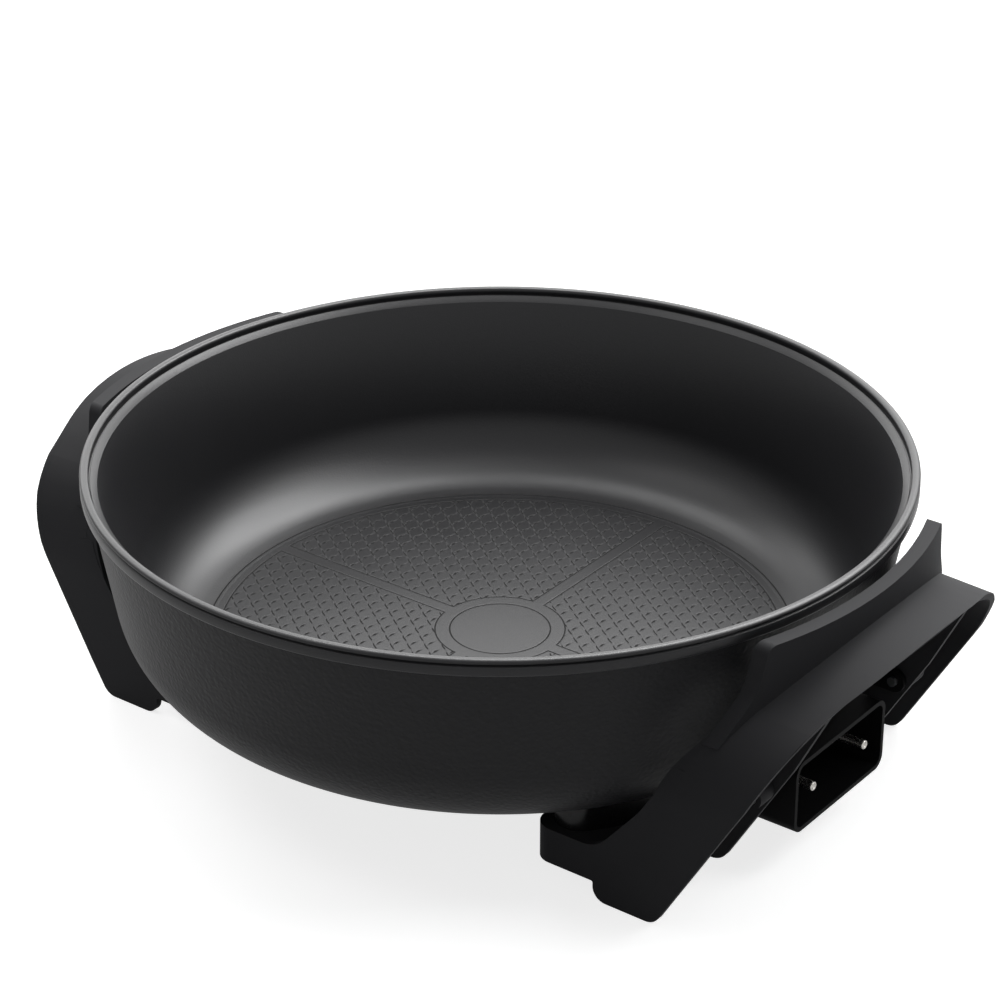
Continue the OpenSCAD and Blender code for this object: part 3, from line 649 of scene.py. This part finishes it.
# %% Pins
SHANK = 14.5        # length of the bare shank, from its shoulder to the tip
pins = []
for node, name in (("near_terminal_pin", "near_pin"), ("far_terminal_pin", "far_pin")):
    low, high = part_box(node)
    y, z = (low.y + high.y) / 2 / MM, (low.z + high.z) / 2 / MM
    tip, back = high.x / MM, low.x / MM
    shoulder = tip - SHANK
    shank = [(0.02, back), (1.3, back), (1.5, back + 0.2), (1.5, shoulder), (1.85, shoulder),
             (2.0, shoulder + 0.15)]
    end = [(2.0, tip - 0.8), (1.95, tip - 0.5), (1.8, tip - 0.22), (1.6, tip - 0.06),
           (1.4, tip), (1.2, tip - 0.06), (1.05, tip - 0.25), (0.8, tip - 0.55),
           (0.45, tip - 0.72), (0, tip - 0.78)]
    pins.append(turned(name, shank + end, 40, [hard["nickel_plated_brass"]],
                       lambda i: 0, axis="X", origin=(0, y, z)))
print("pins:", len(pins), "tips at", round(tip, 2), "mm")

# %% [markdown]
# ## Finishes of the CAD nodes
# The small inner parts have the right shape already. They only change their material slots.

# %% Materials on CAD nodes
zinc, tube = hard["zinc_plated_steel"], hard["cold_drawn_steel_tube"]
steatite = hard["unglazed_steatite"]
inner_finishes = {
    "heating_element": tube, "probe_sleeve": tube, "terminal_plate": zinc,
    "near_pin_insulator": steatite, "far_pin_insulator": steatite,
    "terminal_plate_screws": zinc, "near_shroud_screw": zinc, "far_shroud_screw": zinc,
    "right_handle_screws": zinc, "left_handle_screws": zinc,
    "right_screw_washers": zinc, "left_screw_washers": zinc,
}
for node, material in inner_finishes.items():
    nodes[node].material_slots[0].material = material
print("nodes with a finish:", len(inner_finishes))

# %% [markdown]
# ## What each piece stands for
# Nothing on the skillet moves, so every piece rides on the one body, root. A piece that stands for
# a CAD node hides it.

# %% Rides and replacements
for piece in [pan_wall, pan_underside] + cooking_floor:
    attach(piece, "root")
    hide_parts("pan")
for node, piece in mouldings.items():
    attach(piece, "root")
    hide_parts(node)
for node, piece in zip(("near_terminal_pin", "far_terminal_pin"), pins):
    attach(piece, "root")
    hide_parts(node)
for piece in webs:
    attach(piece, "root")

# %% [markdown]
# ## Floor and surroundings
# The skillet stands on a white floor in a white room. To the camera, and in reflections, the room
# is plain white. To everything else it is softer, so that the light on the object stays at a plain
# level. The floor is a pale diffuse surface that keeps a weak shadow under the feet.

# %% White floor and world
ROOM_LIGHT = 0.14       # strength of the room as light, where 1 is the white that is seen
FLOOR_PAINT = 0.62      # share of light that the floor's paint sends back
FLOOR_SEEN = 0.78       # glow added where the camera looks
FLOOR_MIRRORED = 0.45   # glow added in reflections
world = bpy.data.worlds.new("white room")
bpy.context.scene.world = world
world.use_nodes = True
tree = world.node_tree
path = add(tree, "ShaderNodeLightPath")
seen = add(tree, "ShaderNodeMath",
           {0: path.outputs["Is Camera Ray"], 1: path.outputs["Is Glossy Ray"]},
           operation="MAXIMUM")
seen = add(tree, "ShaderNodeMath", {0: seen.outputs[0], 1: path.outputs["Is Transmission Ray"]},
           operation="MAXIMUM")
power = add(tree, "ShaderNodeMapRange", {"Value": seen.outputs[0], "To Min": ROOM_LIGHT,
                                           "To Max": 1.0})
background = tree.nodes["Background"]
tree.links.new(power.outputs[0], background.inputs["Strength"])
background.inputs["Color"].default_value = (1, 1, 1, 1)

HALF = 6        # half the floor's width, in metres
floor_mesh = bpy.data.meshes.new("floor")
floor_mesh.from_pydata([(-HALF, -HALF, 0), (HALF, -HALF, 0), (HALF, HALF, 0), (-HALF, HALF, 0)],
                       [], [(0, 1, 2, 3)])
floor = bpy.data.objects.new("floor", floor_mesh)
bpy.context.scene.collection.objects.link(floor)
white = bpy.data.materials.new("white_floor_paint")
white.use_nodes = True
tree = white.node_tree
tree.nodes.remove(tree.nodes["Principled BSDF"])
path = add(tree, "ShaderNodeLightPath")
shown = add(tree, "ShaderNodeMath", {0: path.outputs["Is Glossy Ray"], 1: FLOOR_MIRRORED},
            operation="MULTIPLY")
glow = add(tree, "ShaderNodeMath",
           {0: path.outputs["Is Camera Ray"], 1: FLOOR_SEEN, 2: shown.outputs[0]},
           operation="MULTIPLY_ADD")
paint = add(tree, "ShaderNodeBsdfDiffuse", {"Color": (FLOOR_PAINT, FLOOR_PAINT, FLOOR_PAINT, 1)})
light = add(tree, "ShaderNodeEmission", {"Color": (1, 1, 1, 1), "Strength": glow.outputs[0]})
both = add(tree, "ShaderNodeAddShader", {0: paint.outputs[0], 1: light.outputs[0]})
tree.links.new(both.outputs[0], tree.nodes["Material Output"].inputs["Surface"])
floor_mesh.materials.append(white)
print("floor:", 2 * HALF, "m square")

# %% [markdown]
# ## Lamps
# Large soft lamps behind and above the pan are mirrored in the cooking floor and in the bottom
# radius, so the coating shines there, while the wall that faces the viewer stays dark. Each row of
# the table says where a lamp hangs, as seen from the pan, how large it is and how strong. The two
# cards are only mirrored: they add shine, and leave the diffuse light on the blacks as it is.

# %% Lamps round the pan
LAMPS = [
    # Name, turn and rise in degrees, width and depth in metres, watts, only mirrored
    ("upper card", 82, 52, 1.1, 0.9, 45, True),
    ("upper back card", 127, 60, 1.0, 0.6, 27, True),
    ("back window", 127, 26, 2.4, 1.3, 27, False),
    ("overhead box", 60, 84, 1.0, 1.0, 5, False),
    ("left window", 167, 36, 0.7, 0.7, 4, False),
    ("left side", 217, 55, 0.8, 0.8, 5, False),
    ("right side", 37, 48, 0.8, 0.8, 11, False),
]
MIDDLE = Vector((0, 0, 0.08))
DISTANCE = 1.7
for name, azimuth, height, width, depth, power, only_gloss in LAMPS:
    lamp_data = bpy.data.lights.new(name, "AREA")
    lamp_data.shape = "RECTANGLE"
    lamp_data.size, lamp_data.size_y, lamp_data.energy = width, depth, power
    lamp = bpy.data.objects.new(name, lamp_data)
    turn, rise = math.radians(azimuth), math.radians(height)
    out = Vector((math.cos(rise) * math.cos(turn), math.cos(rise) * math.sin(turn), math.sin(rise)))
    lamp.location = MIDDLE + DISTANCE * out
    lamp.rotation_euler = (-out).to_track_quat("-Z", "Y").to_euler()
    lamp.visible_diffuse = not only_gloss
    bpy.context.scene.collection.objects.link(lamp)
    print(name, power, "W")

# %% [markdown]
# ## Camera
# The viewer stands in front and to the right, about a head above the table, and looks down by 27
# degrees. The long lens keeps the rim's ellipse nearly free of perspective.

# %% Camera
LOOK_DOWN = 27.22       # degrees under the horizontal
camera_data = bpy.data.cameras.new("camera")
camera_data.sensor_width = 36
camera_data.lens = 111.0656
camera_data.clip_start = 0.05
camera = bpy.data.objects.new("camera", camera_data)
camera.location = (0.6773, -0.8976, 0.6783)
camera.rotation_euler = (math.radians(90 - LOOK_DOWN), 0, math.atan2(677.3, 897.6))
bpy.context.scene.collection.objects.link(camera)
bpy.context.scene.camera = camera
bpy.context.scene.view_settings.view_transform = "Standard"
print("camera:", camera_data.lens, "mm lens")
